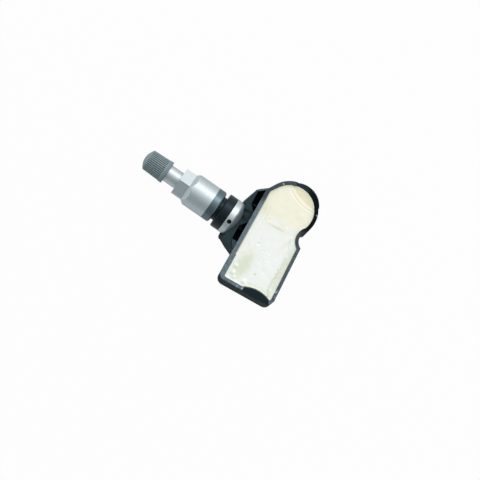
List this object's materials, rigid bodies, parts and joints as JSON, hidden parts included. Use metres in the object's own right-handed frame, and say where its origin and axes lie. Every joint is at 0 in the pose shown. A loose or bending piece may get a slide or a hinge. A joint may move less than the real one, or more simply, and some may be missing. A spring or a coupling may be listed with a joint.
{
  "type": "tyre pressure sensor",
  "caption": "Tyre pressure sensor: potted plastic housing with a round battery lobe, and a tilting screwed metal valve with seal, thrust ring, long hexagon nut and ribbed cap.",
  "frame": {"origin": "on the valve stem's axis, in the face of the rubber flange that seats against the rim", "axes": "+X out of the wheel along the valve (the stem itself points 4.6 degrees up and 4.6 degrees to -Y of it), +Y towards the housing's square end, +Z out of the open, potted face"},
  "size_m": [0.0788, 0.0543, 0.0182],
  "materials": {
    "housing_plastic": "fine moulded texture, slightly grey on the rim",
    "resin": "glossy cast resin, cream to pale green",
    "stem_aluminium": "bright turned",
    "nut_aluminium": "satin anodised",
    "ring_metal": "dark glossy coating",
    "seal_rubber": "semi-matt",
    "cap_plastic": "satin grey",
    "brass": "plain",
    "spring_steel": "drawn wire",
    "black_steel": "blackened",
    "board_laminate": "green solder resist",
    "cell_steel": "bright nickel",
    "chip_epoxy": "moulded epoxy",
    "copper": "enamelled wire",
    "ferrite": "sintered",
    "filter_cloth": "white membrane",
    "chip_ceramic": "fired"
  },
  "bodies": {
    "housing": {"housing": "housing_plastic", "potting": "resin", "circuit_board": "board_laminate", "battery": "cell_steel", "battery_tab_top": "cell_steel", "battery_tab_bottom": "cell_steel", "pressure_sensor": "chip_epoxy", "port_gasket": "seal_rubber", "port_filter": "filter_cloth", "crystal": "cell_steel", "coil_core": "ferrite", "coil_winding": "copper", "capacitors": "chip_ceramic", "resistors": "chip_epoxy", "antenna": "copper"},
    "stem": {"valve_stem": "stem_aluminium", "clamp_nut": "black_steel", "rubber_seal": "seal_rubber", "core_barrel": "brass", "core_gasket": "seal_rubber", "core_spring": "spring_steel"},
    "core": {"core_pin": "brass", "core_poppet": "seal_rubber"},
    "ring": {"thrust_ring": "ring_metal"},
    "nut": {"hex_nut": "nut_aluminium"},
    "cap_disc": {"cap_seal": "seal_rubber"},
    "cap": {"valve_cap": "cap_plastic"}
  },
  "joints": [
    {"name": "stem_swing", "type": "hinge", "parent": "housing", "child": "stem", "pos_m": [0.00559, -0.00045, 0.00046], "axis": [0.0802, 0.9968, 0], "range_deg": [-3, 2]},
    {"name": "ring_slide", "type": "slide", "parent": "stem", "child": "ring", "axis": [0.9935, -0.0799, 0.0809], "range_m": [-0.0007, 0.0057]},
    {"name": "nut_turn", "type": "hinge", "parent": "ring", "child": "nut", "pos_m": [0, 0, 0], "axis": [0.9935, -0.0799, 0.0809], "range_deg": [-258, 2060]},
    {"name": "cap_slide", "type": "slide", "parent": "stem", "child": "cap_disc", "axis": [0.9935, -0.0799, 0.0809], "range_m": [0, 0.009]},
    {"name": "cap_turn", "type": "hinge", "parent": "cap_disc", "child": "cap", "pos_m": [0, 0, 0], "axis": [0.9935, -0.0799, 0.0809], "range_deg": [0, 4090]},
    {"name": "core_push", "type": "slide", "parent": "stem", "child": "core", "axis": [-0.9935, 0.0799, -0.0809], "range_m": [0, 0.0012], "stiffness_N_per_m": 300, "springref_m": -0.002, "deforming": ["core_spring"]}
  ],
  "couplings": [
    {"joint": "nut_turn", "follows": "ring_slide", "rad_per_m": 6283.2},
    {"joint": "cap_turn", "follows": "cap_slide", "rad_per_m": 7913.3}
  ]
}
